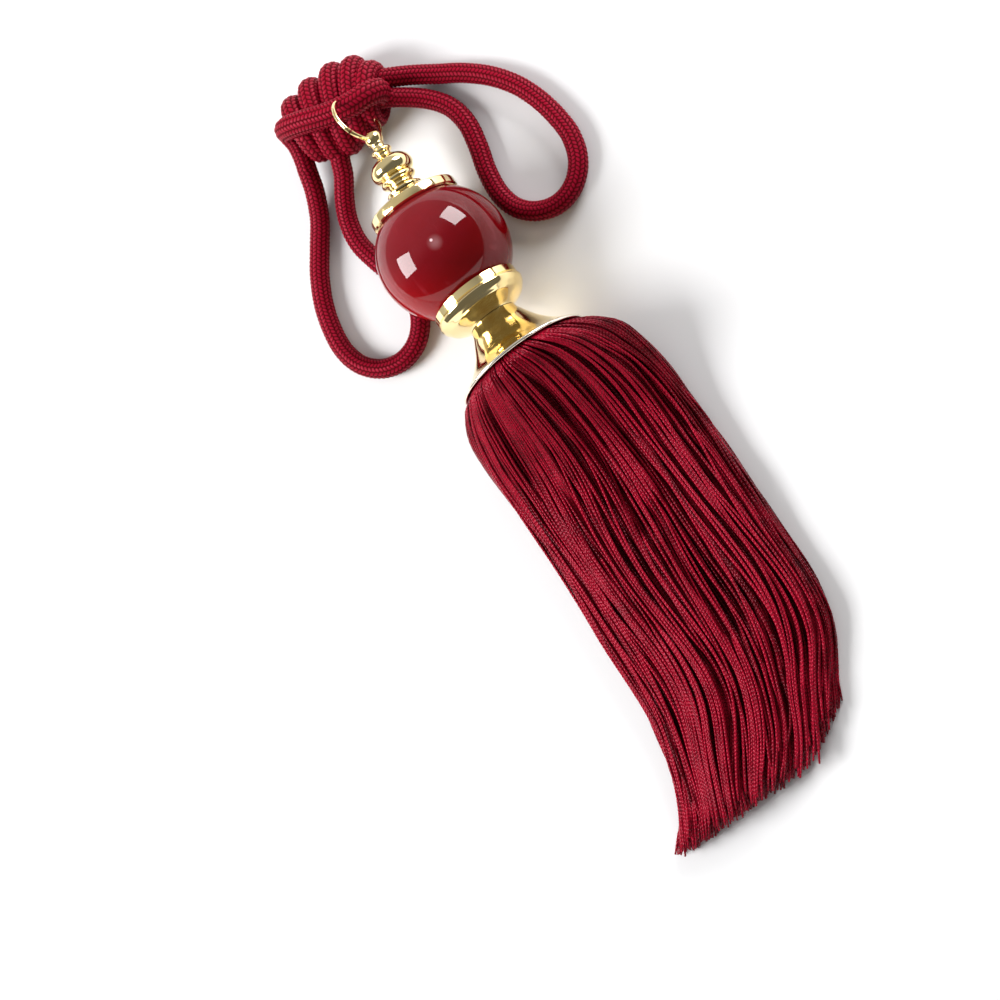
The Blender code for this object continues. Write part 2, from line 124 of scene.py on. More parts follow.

# Directions from the ball's centre: the painted light as if lit through, the haze, and a painted glint in
# its halo.
RESIN_PAINTED_GLOW_WAY = (-0.55, -0.72, -0.10)
RESIN_HAZE = (-0.10, 0.66, 0.74)
RESIN_GLINT = (0.218, -0.029, 0.975)
RESIN_HALO = (0.245, -0.085, 0.966)
HALO_EDGE = 8.0  # degrees from the halo's middle
GLINT_EDGE, GLINT_CORE = 1.5, 0.6  # degrees from the glint's middle


class Shader:
    """A material's node tree, with its Principled BSDF, built up by short calls."""

    def __init__(self, name, **principled):
        self.material = bpy.data.materials.new(name)
        self.material.use_nodes = True
        self.tree = self.material.node_tree
        self.bsdf = self.tree.nodes["Principled BSDF"]
        for key, value in principled.items():
            self.bsdf.inputs[key.replace("_", " ")].default_value = value

    def link(self, value, socket):
        """Sets a socket to a number or colour, or joins it to another node's output."""
        if isinstance(value, bpy.types.NodeSocket):
            self.tree.links.new(value, socket)
        else:
            socket.default_value = value

    def node(self, kind, inputs=(), **settings):
        made = self.tree.nodes.new("ShaderNode" + kind)
        for key, value in settings.items():
            setattr(made, key, value)
        for key, value in dict(inputs).items():
            self.link(value, made.inputs[key])
        return made

    def math(self, operation, *values):
        made = self.node("Math", operation=operation)
        for socket, value in zip(made.inputs, values):
            self.link(value, socket)
        return made.outputs[0]

    def times(self, first, second):
        return self.math("MULTIPLY", first, second)

    def vector(self, operation, *values):
        """A vector node: its inputs are linked, and the node itself is given back."""
        return self.node("VectorMath", enumerate(values), operation=operation)

    def mix(self, share, first, second):
        made = self.node("Mix", data_type="RGBA")
        for socket, value in ((made.inputs[0], share), (made.inputs[6], first), (made.inputs[7], second)):
            self.link(value, socket)
        return made.outputs[2]

    def ramp(self, value, low, high, to_low=0.0, to_high=1.0):
        """Spreads what lies between low and high evenly from to_low to to_high."""
        made = self.node("MapRange")
        for socket, number in zip(made.inputs, (value, low, high, to_low, to_high)):
            self.link(number, socket)
        return made.outputs[0]

    def noise(self, scale, detail=2.0, stretch=(1, 1, 1)):
        """Noise in the part's own frame: scale is in waves for each metre."""
        place = self.node("TexCoord").outputs["Object"]
        place = self.node("Mapping", {"Vector": place, "Scale": stretch}).outputs[0]
        made = self.node("TexNoise", {"Vector": place, "Scale": scale, "Detail": detail})
        return made.outputs["Fac"]

    def patches(self, scale, low, high, to_low=0.0, to_high=1.0, **noise):
        """Noise that is spread from to_low to to_high where it lies between low and high."""
        return self.ramp(self.noise(scale, **noise), low, high, to_low, to_high)

    def uv(self):
        place = self.node("UVMap", uv_map="along").outputs[0]
        split = self.node("SeparateXYZ", {0: place})
        return split.outputs[0], split.outputs[1]

    def attribute(self, name):
        return self.node("Attribute", attribute_name=name).outputs["Fac"]

    def colour(self, value):
        self.link(value, self.bsdf.inputs["Base Color"])

    def roughness(self, value):
        self.link(value, self.bsdf.inputs["Roughness"])

    def bump(self, height, distance, strength):
        """Relief of the given height socket: distance is in millimetres."""
        inputs = {"Height": height, "Distance": distance * MM, "Strength": strength}
        self.link(self.node("Bump", inputs).outputs[0], self.bsdf.inputs["Normal"])


def cosine(degrees):
    return math.cos(math.radians(degrees))


def gilt_material(name, light, warm, roughness):
    """Bright plating: slightly warmer in places, with faint waves and a trace of handling."""
    made = Shader(name, Metallic=1.0)
    made.colour(made.mix(made.patches(scale=90, low=0.35, high=0.7), light, warm))
    made.roughness(made.patches(
        scale=420, low=0.4, high=0.8, to_low=roughness, to_high=roughness * HANDLED, detail=4
    ))
    made.bump(made.noise(scale=260), distance=0.05, strength=0.25)
    return made.material


def resin_material():
    """Polished red resin: deep and clear, painted light on one side, a milky haze on another, faint veins
    and a painted glint in a halo.
    """
    made = Shader(
        "red_resin", Roughness=0.03, IOR=1.38,
        Subsurface_Weight=0.25, Subsurface_Radius=(0.012, 0.001, 0.001), Subsurface_Scale=1.0,
    )

    def near(way, low, high):
        """From 0 to 1 as the place on the ball nears a direction from its centre."""
        place = made.node("TexCoord").outputs["Object"]
        out = made.vector("SUBTRACT", place, BALL_CENTRE * MM).outputs[0]
        out = made.vector("NORMALIZE", out).outputs[0]
        dot = made.vector("DOT_PRODUCT", out, Vector(way).normalized())
        return made.ramp(dot.outputs["Value"], low, high)

    cloudy = made.patches(scale=30, low=0.2, high=0.7, to_low=0.5, to_high=1.0)
    # Painted light: the resin grows paler towards one side, as if light shone through it.
    painted_glow = made.times(near(RESIN_PAINTED_GLOW_WAY, 0.1, 1.0), cloudy)
    body = made.mix(painted_glow, RESIN_DEEP, RESIN_PAINTED_GLOW)
    milky = made.patches(scale=45, low=0.3, high=0.75, to_low=0.15, to_high=0.5, detail=4)
    haze = made.times(near(RESIN_HAZE, 0.25, 1.0), milky)
    body = made.mix(haze, body, RESIN_MILK)
    threads = made.patches(scale=120, low=0.62, high=0.80, stretch=(2.2, 0.25, 1.0))
    body = made.mix(made.times(threads, 0.25), body, RESIN_VEIN)
    # A painted highlight: a small white glint in a faint milky halo.
    halo = made.math("POWER", near(RESIN_HALO, cosine(HALO_EDGE), 1.0), 2.0)
    core = near(RESIN_GLINT, cosine(GLINT_EDGE), cosine(GLINT_CORE))
    glint = made.math("ADD", made.times(halo, 0.15), core)
    made.colour(made.mix(glint, body, RESIN_GLINT_WHITE))
    return made.material


def braid_height(made, across, along):
    """The braid that braid_relief lays, as nodes: how high its floats stand, and the threads along them."""
    column = made.math("FLOOR", across)
    side = made.math("SUBTRACT", made.math("SUBTRACT", across, column), 0.5)
    odd = made.math("MODULO", column, 2.0)
    hand = made.math("SUBTRACT", 1.0, made.times(odd, 2.0))
    slant = made.times(made.times(side, hand), BRAID_LEAN)
    phase = made.math("ADD", made.math("ADD", along, made.times(odd, 0.5)), slant)
    step = made.math("SUBTRACT", made.math("FRACT", phase), 0.5)
    rounded = [
        made.math("SUBTRACT", 1.0, made.times(made.times(way, way), fall))
        for way, fall in ((side, FALL_ACROSS), (step, FALL_ALONG))
    ]
    threads = made.math("SINE", made.times(phase, FULL_TURN * BRAID_THREADS))
    return made.times(*rounded), threads


def rope_material():
    """Braided viscose: pink lights on the floats, dull between them and darkened there by painted shade,
    fine threads along each.
    """
    made = Shader("crimson_braid", IOR=1.34, Specular_Tint=BRAID_TINT)
    height, threads = braid_height(made, *made.uv())
    # Painted shade: the colour darkens into the troughs between the floats.
    ground = made.mix(made.ramp(height, low=0.25, high=0.80), BRAID_PAINTED_SHADE, BRAID_FLOAT)
    worn = made.patches(scale=300, low=0.3, high=0.8, to_low=0.0, to_high=0.3, detail=3)
    made.colour(made.mix(worn, ground, BRAID_DULL))
    made.roughness(made.ramp(height, low=0.3, high=0.8, to_low=0.85, to_high=0.32))
    relief = made.math("ADD", height, made.times(threads, 0.10))
    made.bump(relief, distance=0.3, strength=0.6)
    return made.material


def yarn_material():
    """Twisted viscose yarn, each strand with its own tone, with painted shade in the grooves of its twist,
    paler where it catches the light.
    """
    made = Shader("crimson_yarn", Roughness=0.30, IOR=1.33, Specular_Tint=YARN_TINT)
    across, along = made.uv()
    plies, twist = made.times(across, YARN_PLIES), made.math("DIVIDE", along, YARN_TWIST)
    turn = made.math("ADD", plies, twist)
    ply = made.math("ABSOLUTE", made.math("SINE", made.times(turn, math.pi)))
    uneven = made.noise(scale=900)
    patchy = made.patches(scale=160, low=0.3, high=0.7, to_low=-0.25, to_high=0.25)
    ground = made.mix(made.math("ADD", made.attribute("tone"), patchy), YARN_DEEP, YARN_LIT)
    # Painted shade darkens the grooves between the plies.
    lit = made.ramp(ply, low=0.0, high=0.6, to_low=0.45, to_high=1.0)
    made.colour(made.mix(lit, YARN_GROOVE_SHADE, ground))
    made.bump(made.math("ADD", made.times(ply, 0.8), uneven), distance=0.22, strength=0.7)
    return made.material


def floor_material():
    made = Shader("pale_floor", Roughness=0.65)
    made.colour(made.mix(made.patches(scale=3, low=0.3, high=0.7), FLOOR_PALE, FLOOR_PALER))
    return made.material


# ---------------- meshes from arrays
def new_piece(name, points, faces, materials, uv=None, tone=None, sharp=None):
    """A piece from points in millimetres and faces of four (a repeated last corner makes three). What
    would reach below the surface that the tassel lies on is pressed flat on it."""
    points = np.array(points, float).reshape(-1, 3) * MM
    points[:, 2] = np.maximum(points[:, 2], 0.0)
    mesh = bpy.data.meshes.new(name)
    faces = [tuple(dict.fromkeys(face)) for face in np.asarray(faces).tolist()]
    mesh.from_pydata(points.tolist(), [], faces)
    if uv is not None:
        corners = np.empty(len(mesh.loops), np.int32)
        mesh.loops.foreach_get("vertex_index", corners)
        layer = mesh.uv_layers.new(name="along")
        layer.data.foreach_set("uv", np.asarray(uv, np.float32)[corners].ravel())
    if tone is not None:
        values = mesh.attributes.new("tone", "FLOAT", "POINT").data
        values.foreach_set("value", np.asarray(tone, np.float32))
    mesh.shade_smooth()
    if sharp:
        mesh.set_sharp_from_angle(angle=math.radians(sharp))
    for material in materials:
        mesh.materials.append(material)
    piece = placed(name, mesh)
    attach(piece, "root")
    return piece


def smooth_step(x, low, high):
    """From 0 at low to 1 at high, level at both ends."""
    t = np.clip((x - low) / (high - low), 0.0, 1.0)
    return t * t * (3 - 2 * t)


def circle(steps):
    """Angles at equal steps round a full turn."""
    return np.linspace(0.0, FULL_TURN, steps, endpoint=False)


def through(points, per_span, closed=False):
    """A Catmull-Rom curve through points, with per_span steps between each two."""
    knots = np.array(points, float)
    if closed:
        knots = np.vstack([knots[-1], knots, knots[:2]])
    else:
        knots = np.vstack([2 * knots[0] - knots[1], knots, 2 * knots[-1] - knots[-2]])
    t = np.linspace(0.0, 1.0, per_span, endpoint=False)[:, None]
    made = [
        0.5 * (2 * b + (c - a) * t + (2 * a - 5 * b + 4 * c - d) * t**2 + (3 * b - a - 3 * c + d) * t**3)
        for a, b, c, d in zip(knots, knots[1:], knots[2:], knots[3:])
    ]
    return np.vstack(made + ([] if closed else [knots[-2:-1]]))


def lengths_along(path):
    """How far along the path each of its points lies."""
    return np.concatenate([[0.0], np.cumsum(np.linalg.norm(np.diff(path, axis=0), axis=1))])


def evenly(path, step):
    """The path at equal steps of about this length."""
    run = lengths_along(path)
    at = np.linspace(0.0, run[-1], max(2, round(run[-1] / step) + 1))
    return np.stack([np.interp(at, run, path[:, k]) for k in range(3)], axis=1)


def frames_along(path):
    """Side and up vectors at each point, turned as little as can be from one to the next."""
    heading = np.gradient(path, axis=0)
    heading /= np.linalg.norm(heading, axis=1)[:, None]
    up, ups = np.array((0.0, 0.0, 1.0)), []
    for way in heading:
        up = up - way * (up @ way)
        up /= np.linalg.norm(up)
        ups.append(up)
    ups = np.array(ups)
    return np.cross(heading, ups), ups


def grid_faces(rows, columns, closed_rows=False):
    """Quads between rows of points, each row a ring of columns points."""
    spans = rows if closed_rows else rows - 1
    row, column = np.meshgrid(np.arange(spans), np.arange(columns), indexing="ij")
    here, there = row * columns, (row + 1) % rows * columns
    after = (column + 1) % columns
    quads = np.stack([here + column, here + after, there + after, there + column], axis=-1)
    return quads.reshape(-1, 4)


def capped_faces(rows, columns, inside_out=False):
    """The quads of a tube and a fan of triangles at each end, to two points that follow the tube's own."""
    quads = grid_faces(rows, columns)
    ring, last, hub = np.arange(columns), (rows - 1) * columns, rows * columns
    after = np.roll(ring, -1)
    fans = [(after, ring, hub), (last + ring, last + after, hub + 1)]
    if inside_out:
        quads = quads[:, ::-1]
        fans = [(second, first, end) for first, second, end in fans]
    fans = [np.stack([*edge, np.full(columns, end), np.full(columns, end)], axis=1) for *edge, end in fans]
    return np.vstack([quads] + fans)


# ---------------- turned pieces
TURN_STEPS, FINIAL_STEPS, HEAD_STEPS = 128, 96, 64
BALL_RINGS = 72
PROFILE_STEPS = 5  # between two points of a curved stroke
SAME_POINT = 0.01  # points of a profile that lie nearer than this are one
AXIS_R = 0.02  # no ring of a turned piece is smaller than this
CREASE = 35  # degrees; an edge that turns more is sharp
SEAT_POINTS, BEAD_POINTS = 9, 12
BEAD_END = math.radians(133)  # where the bead round the eye meets the finial's neck

# Profiles as runs of (radius, distance), with a crease between two runs.
FINIAL_STROKES = [
    [(2.3, 43.0), (2.1, 42.6), (2.2, 41.9), (2.3, 41.6)],
    [(2.3, 41.6), (3.0, 41.3), (3.45, 40.9), (3.6, 40.4), (3.5, 40.0), (3.0, 39.5), (2.7, 39.2)],
    [(2.7, 39.2), (2.6, 38.8), (2.8, 38.4), (3.5, 37.95), (4.4, 37.5)],
    [(4.4, 37.5), (6.2, 36.3), (7.3, 34.5), (7.4, 32.8), (6.6, 31.2), (5.2, 30.3)],
    [(5.2, 30.3), (5.9, 30.0), (6.2, 29.4), (6.1, 28.9), (5.6, 28.3), (4.7, 27.9)],
    [(4.7, 27.9), (4.4, 27.4), (4.7, 26.5), (5.5, 25.8), (6.3, 25.5)],
    [(6.3, 25.5), (6.5, 25.1), (6.4, 24.6)],
]
DISH_STROKES = [
    [(6.6, 24.3), (8.0, 23.75), (9.6, 23.0), (11.6, 22.0), (13.6, 21.2), (14.6, 20.85)],
    [(14.6, 20.85), (15.2, 20.6), (15.5, 20.3), (15.6, 19.9)],
    [(15.6, 19.9), (15.6, 17.7)],
]
CUP_STROKES = [
    [(8.4, 28.0), (8.8, 27.5), (9.6, 26.9), (11.0, 26.25), (12.4, 25.6), (13.7, 24.8), (14.6, 23.8),
     (15.4, 22.8), (15.8, 21.8), (15.95, 21.3), (15.9, 20.9), (15.6, 20.65), (15.3, 20.5)],
    [(15.3, 20.5), (15.3, 20.35), (15.6, 20.1)],
    [(15.6, 20.1), (15.6, 17.7)],
]
BELL_STROKES = [
    [(22.75, 45.95), (22.95, 46.2), (23.3, 46.25), (23.55, 46.0), (23.6, 45.65), (23.45, 45.3)],
    [(23.45, 45.3), (23.0, 45.0), (21.7, 44.3), (18.9, 42.5), (16.2, 40.2), (13.8, 37.6), (11.9, 35.0),
     (10.4, 32.4), (9.2, 30.2), (8.7, 29.0), (8.5, 28.3)],
]
BELL_FLOOR = (16.6, 42.6)  # the edge of the flat floor inside the bell
RIM_LINE_S = 45.3  # the bell's rim is pale from here on


def axis_matrix(pitch, yaw):
    """The frame of a turned part, in millimetres: Z runs out along its axis from the ball's centre."""
    turn = Euler((math.radians(pitch), 0.0, math.radians(yaw))).to_matrix().to_4x4()
    return Matrix.Translation(BALL_CENTRE) @ turn


UPPER, LOWER = axis_matrix(-90.0, UPPER_YAW), axis_matrix(90.0 - LOWER_PITCH, LOWER_YAW)


def from_axis(points, axis):
    """Points in a turned part's frame, taken to the frame of the whole."""
    matrix = np.array(axis)
    return points @ matrix[:3, :3].T + matrix[:3, 3]


def rings_round_z(radius, height, steps):
    """Points of rings round the Z axis, each with its own radius and height."""
    around = circle(steps)
    ways = (radius, np.cos(around)), (radius, np.sin(around)), (height, np.ones(steps))
    return np.stack([np.outer(*way) for way in ways], axis=-1).reshape(-1, 3)


def turned_mesh(name, strokes, axis, materials, steps=TURN_STEPS, pale_from=None):
    """Turns a profile about an axis. From the distance pale_from on, it has the second material."""
    profile = np.vstack([
        through(stroke, PROFILE_STEPS) if len(stroke) > 2 else np.array(stroke) for stroke in strokes
    ])
    keep = np.concatenate([[True], np.linalg.norm(np.diff(profile, axis=0), axis=1) > SAME_POINT])
    profile = profile[keep]
    radius, distance = np.maximum(profile[1:-1, 0], AXIS_R), profile[1:-1, 1]
    hubs = [[0.0, 0.0, profile[0, 1]], [0.0, 0.0, profile[-1, 1]]]
    points = from_axis(np.vstack([rings_round_z(radius, distance, steps), hubs]), axis)
    piece = new_piece(name, points, capped_faces(len(radius), steps), materials, sharp=CREASE)
    if pale_from is not None:
        pale = np.zeros(len(piece.data.polygons), np.int32)
        pale[:(len(radius) - 1) * steps] = np.repeat(distance[:-1] >= pale_from, steps)
        piece.data.polygons.foreach_set("material_index", pale)
    return piece


def seat_stroke(radius):
    """The hollow that holds the ball, from the rim of the seat to the axis."""
    widest = math.asin(SEAT_R / radius)
    return [
        (radius * math.sin(widest * share), radius * math.cos(widest * share))
        for share in np.linspace(1, 0, SEAT_POINTS)
    ]


def disc(point):
    """A flat end, from the axis to a point of the profile."""
    return [(0.0, point[1]), point]


def make_ball(resin):
    """The resin ball, with the small flat that it rests on."""
    fall = np.linspace(0.0, math.pi, BALL_RINGS + 2)[1:-1]
    shell = rings_round_z(np.sin(fall), np.cos(fall), TURN_STEPS)
    points = np.vstack([shell, [[0, 0, 1], [0, 0, -1]]]) * BALL_R + np.array(BALL_CENTRE)
    faces = capped_faces(BALL_RINGS, TURN_STEPS, inside_out=True)
    ball = new_piece("resin_ball", points, faces, [resin])
    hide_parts("ball")


def make_fittings(gilt, rim):
    """The finial, the dish and the cup that hold the ball, and the bell over the fringe's head."""
    seat = seat_stroke(BALL_R + GAP)
    bead = [
        (EYE_R * math.sin(turn), EYE_S + EYE_R * math.cos(turn))
        for turn in np.linspace(0.0, BEAD_END, BEAD_POINTS)
    ]
    foot, neck, mouth = FINIAL_STROKES[-1][-1], BELL_STROKES[-1][-1], BELL_STROKES[0][0]
    finial = turned_mesh(
        "gilt_finial", [bead] + FINIAL_STROKES + [disc(foot)[::-1]], UPPER, [gilt], steps=FINIAL_STEPS
    )
    dish = turned_mesh("gilt_dish", [disc(DISH_STROKES[0][0])] + DISH_STROKES + [seat], UPPER, [gilt])
    cup = turned_mesh("gilt_cup", [disc(CUP_STROKES[0][0])] + CUP_STROKES + [seat], LOWER, [gilt])
    bell = turned_mesh(
        "gilt_bell", [disc(BELL_FLOOR), [BELL_FLOOR, mouth]] + BELL_STROKES + [disc(neck)[::-1]],
        LOWER, [gilt, rim], pale_from=RIM_LINE_S,
    )
    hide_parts("finial")
    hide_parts("dish")
    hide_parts("cup")
    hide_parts("bell")
    return finial


# ---------------- ring
RING_STEPS, RING_SIDES = 120, 16
RING_CREASE = 50  # degrees
SPLIT_AT = math.radians(118)  # from the ring's far point, opposite the eye
SPLIT_HALF = math.radians(1.6)
WIRE_FLAT = 0.82  # the wire's thickness over its width
BORE_STEPS, BORE_SIDES = 96, 14
BORE_CLEARANCE = 0.42


def ring_frame():
    """The ring's middle and the two directions of its plane, in millimetres."""
    eye = UPPER @ Vector((0.0, 0.0, EYE_S))
    long_way = Vector(RING_LONG).normalized()
    rise = Vector(RING_RISE)
    rise = (rise - rise.dot(long_way) * long_way).normalized()
    return eye + long_way * RING_R, long_way, rise


def ring_tube(wire_wide, wire_thick, turns, sides):
    """Points of a wire bent round the ring's circle. turns are angles from the ring's far point."""
    middle, long_way, rise = (np.array(v) for v in ring_frame())
    cross = np.cross(long_way, rise)
    points = []
    for turn in turns:
        out = long_way * math.cos(turn) + rise * math.sin(turn)
        for around in circle(sides):
            place = middle + out * (RING_R + wire_thick * math.cos(around))
            points.append(place + cross * wire_wide * math.sin(around))
    return np.array(points)


def make_ring(gilt):
    """A flattened wire bent into a ring, with the small split where its ends meet."""
    turns = np.linspace(SPLIT_AT + SPLIT_HALF, SPLIT_AT + FULL_TURN - SPLIT_HALF, RING_STEPS)
    points = ring_tube(RING_WIRE_R, RING_WIRE_R * WIRE_FLAT, turns, RING_SIDES)
    ends = points.reshape(RING_STEPS, RING_SIDES, 3)[[0, -1]].mean(axis=1)
    faces = capped_faces(RING_STEPS, RING_SIDES)
    piece = new_piece("split_ring", np.vstack([points, ends]), faces, [gilt], sharp=RING_CREASE)
    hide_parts("hook_ring")


def cut_eye(finial, gilt):
    """Bores the way of the ring through the finial's bead."""
    bore_r = RING_WIRE_R + BORE_CLEARANCE
    points = ring_tube(bore_r, bore_r, circle(BORE_STEPS), BORE_SIDES)
    faces = grid_faces(BORE_STEPS, BORE_SIDES, closed_rows=True)
    mesh = bpy.data.meshes.new("bore")
    mesh.from_pydata((points * MM).tolist(), [], faces.tolist())
    mesh.shade_smooth()
    mesh.materials.append(gilt)
    cutter = placed("bore", mesh)
    bore = finial.modifiers.new("bore", "BOOLEAN")
    bore.operation, bore.object, bore.solver = "DIFFERENCE", cutter, "EXACT"
    bpy.context.view_layer.update()
    cut = bpy.data.meshes.new_from_object(finial.evaluated_get(bpy.context.evaluated_depsgraph_get()))
    finial.modifiers.clear()
    finial.data = cut
    cut.set_sharp_from_angle(angle=math.radians(CREASE))
    bpy.data.objects.remove(cutter, do_unlink=True)


# ---------------- braided rope
BRAID_COLUMNS = 12
BRAID_PITCH = 1.35  # the length of a float
BRAID_LEAN = 0.55
BRAID_THREADS = 3.0
BRAID_DEPTH = 0.52
FLOAT_PROUD = 0.12  # how far a float's crown stands over the rope's own radius
FALL_ACROSS, FALL_ALONG = 3.2, 3.6  # how fast a float falls away from its middle

WRAPS = [
    # out x, out y, in x, in y
    (-17.2, 77.4, -18.6, 58.6),
    (-8.6, 78.4, -14.2, 55.2),
    (0.6, 77.6, -9.0, 53.8),
    (7.8, 74.6, -3.4, 54.0),
    (11.8, 69.2, 2.8, 55.6),
]
WRAP_POINTS = 18
WRAP_TOP_Z = 15.8
WRAP_CROWN = 1.4
WRAP_WIDE = 1.16  # the width over the height of a pressed rope
BAND_WIDE = 1.24
BAND_NARROWS = (0.55, 0.95)  # the shares of its way between which the band becomes round again
BAND = [
    (10.8, 60.2, 11.0), (11.0, 60.0, 16.2), (8.2, 59.8, 20.2), (3.0, 59.9, 21.9), (-2.8, 61.2, 22.3),
    (-8.6, 63.4, 22.1), (-14.2, 66.1, 21.3), (-19.6, 68.7, 19.0), (-23.2, 70.5, 15.2),
    (-24.5, 70.2, 10.8), (-24.6, 66.6, 8.8), (-25.4, 61.8, 8.4), (-27.0, 56.6, 8.0),
]
STUBS = [
    [(-4.0, 66.2, 10.4), (4.0, 67.0, 10.6), (10.6, 65.6, 10.0), (15.8, 63.2, 8.2)],
    [(-6.0, 60.0, 10.2), (2.0, 60.8, 10.4), (7.6, 59.6, 9.8), (12.6, 57.2, 8.0)],
    [(-6.0, 61.0, 10.2), (-11.0, 57.4, 10.0), (-14.6, 52.6, 9.2), (-17.4, 47.8, 7.6)],
]
RIGHT_ARM = [
    (15.8, 63.2, 8.2), (21.4, 60.0, 6.0), (28.6, 55.0, 3.9), (35.8, 49.6, 3.6), (42.6, 42.8, 3.6),
    (48.0, 34.6, 3.6), (51.4, 25.4, 3.6), (53.0, 15.8, 3.6), (52.8, 8.2, 3.6), (50.0, 1.0, 3.6),
    (44.4, -4.2, 3.6), (37.0, -6.0, 3.6), (29.6, -3.6, 3.6), (24.2, 2.0, 3.6), (22.2, 9.4, 3.6),
    (23.0, 18.0, 3.6), (25.4, 26.8, 3.6), (26.8, 35.6, 3.6), (25.2, 43.8, 3.6), (20.2, 51.0, 4.8),
    (12.6, 57.2, 8.0),
]
LEFT_ARM = [
    (-27.0, 56.6, 8.0), (-29.2, 50.2, 7.0), (-34.0, 42.6, 4.3), (-39.8, 35.2, 3.6),
    (-45.6, 27.2, 3.6), (-50.2, 18.2, 3.6), (-52.8, 8.6, 3.6), (-53.2, 0.4, 3.6),
    (-50.8, -6.8, 3.6), (-45.4, -12.2, 3.6), (-38.0, -14.4, 3.6), (-30.4, -12.4, 3.6),
    (-24.8, -6.8, 3.6), (-22.6, 0.6, 3.6), (-23.4, 9.6, 3.6), (-26.0, 18.4, 3.6),
    (-27.6, 27.2, 3.6), (-26.2, 35.4, 3.9), (-22.2, 42.2, 5.6), (-17.4, 47.8, 7.6),
]
ARMS = [
    # name, the arm, what leads to it inside the knot, what follows it there, node
    ("rope_right", RIGHT_ARM, STUBS[0], STUBS[1][::-1], "rope_arm_right"),
    ("rope_left", LEFT_ARM, BAND, STUBS[2][::-1], "rope_arm_left"),
]
CURVE_STEPS = 40  # between two points of a rope's way
KNOT_SIDES, ARM_SIDES = 48, 36
KNOT_STEP, ARM_STEP = BRAID_PITCH / 4, BRAID_PITCH / 3.2


def braid_relief(across, along):
    """The height of the braid's floats, up to 1. Its columns lean by turns to one side and the other."""
    column = np.floor(across)
    side = across - column - 0.5
    odd = column % 2
    phase = along + 0.5 * odd + BRAID_LEAN * side * (1 - 2 * odd)
    step = phase - np.floor(phase) - 0.5
    return (1 - FALL_ACROSS * side**2) * (1 - FALL_ALONG * step**2)


def rope_tube(path, along, sides, closed=False, wide=1.0):
    """The braided surface along a path: its points, their UVs and its faces. along counts the floats."""
    side_way, up_way = frames_along(path)
    shape = len(path), sides
    twist = 0.0
    if closed:
        # The frame comes back turned a little; that is shared out along the way.
        twist = math.atan2(up_way[-1] @ side_way[0], up_way[-1] @ up_way[0])
    around = circle(sides)
    turn = around[None, :] - twist * np.linspace(0, 1, len(path))[:, None]
    across = np.broadcast_to(around * BRAID_COLUMNS / FULL_TURN, shape)
    along = np.broadcast_to(along[:, None], shape)
    radius = ROPE_R + FLOAT_PROUD - BRAID_DEPTH * (1 - braid_relief(across, along))
    flat = np.cos(turn) * np.reshape(wide, (-1, 1))
    out = side_way[:, None, :] * flat[..., None] + up_way[:, None, :] * np.sin(turn)[..., None]
    points = path[:, None, :] + out * radius[..., None]
    uv = np.stack([across, along], axis=-1)
    return points.reshape(-1, 3), uv.reshape(-1, 2), grid_faces(*shape, closed_rows=closed)


def wrap_path(out_x, out_y, in_x, in_y):
    """One turn of rope round the knot's middle: a tall loop over the line between its two bends."""
    outer, inner = np.array((out_x, out_y)), np.array((in_x, in_y))
    low_z = ROPE_R - REST_FLAT
    path = []
    for turn in circle(WRAP_POINTS):
        along, up = math.cos(turn), math.sin(turn)
        crown = WRAP_CROWN * max(along, 0.0) * max(up, 0.0)
        place = (outer + inner) / 2 + (outer - inner) / 2 * along
        path.append((*place, (WRAP_TOP_Z + low_z) / 2 + (WRAP_TOP_Z - low_z) / 2 * up + crown))
    return path


def make_rope(braid):
    """The two free arms, as cords, and everything that winds inside the knot as one piece."""
    strands = []
    for row in WRAPS:
        path = through(wrap_path(*row), CURVE_STEPS, closed=True)
        path = evenly(np.vstack([path, path[:1]]), KNOT_STEP)[:-1]
        run = lengths_along(path) / BRAID_PITCH
        along = run * (round(run[-1]) / run[-1])
        strands.append(rope_tube(path, along, KNOT_SIDES, closed=True, wide=WRAP_WIDE))
    for name, arm, before, after, node in ARMS:
        whole = evenly(through(before[:-1] + arm + after[1:], CURVE_STEPS), KNOT_STEP)
        starts = np.argmin(np.linalg.norm(whole - np.array(arm[0]), axis=1))
        ends = np.argmin(np.linalg.norm(whole - np.array(arm[-1]), axis=1))
        along = lengths_along(whole) / BRAID_PITCH
        for low, high in ((0, starts), (ends, len(whole) - 1)):
            wide = 1.0
            if before is BAND and low == 0:
                wide = BAND_WIDE + (1 - BAND_WIDE) * smooth_step(np.linspace(0, 1, high + 1), *BAND_NARROWS)
            strands.append(rope_tube(whole[low:high + 1], along[low:high + 1], KNOT_SIDES, wide=wide))
        free = evenly(whole[starts:ends + 1], ARM_STEP)
        points, uv, faces = rope_tube(free, along[starts] + lengths_along(free) / BRAID_PITCH, ARM_SIDES)
        piece = new_piece(name, points, faces, [braid], uv=uv)
        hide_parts(node)
    points, uvs, faces = zip(*strands)
    firsts = np.cumsum([0] + [len(part) for part in points[:-1]])
    faces = np.vstack([quads + first for quads, first in zip(faces, firsts)])
    knot = new_piece("rope_knot_strands", np.vstack(points), faces, [braid], uv=np.vstack(uvs))
    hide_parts("rope_knot")


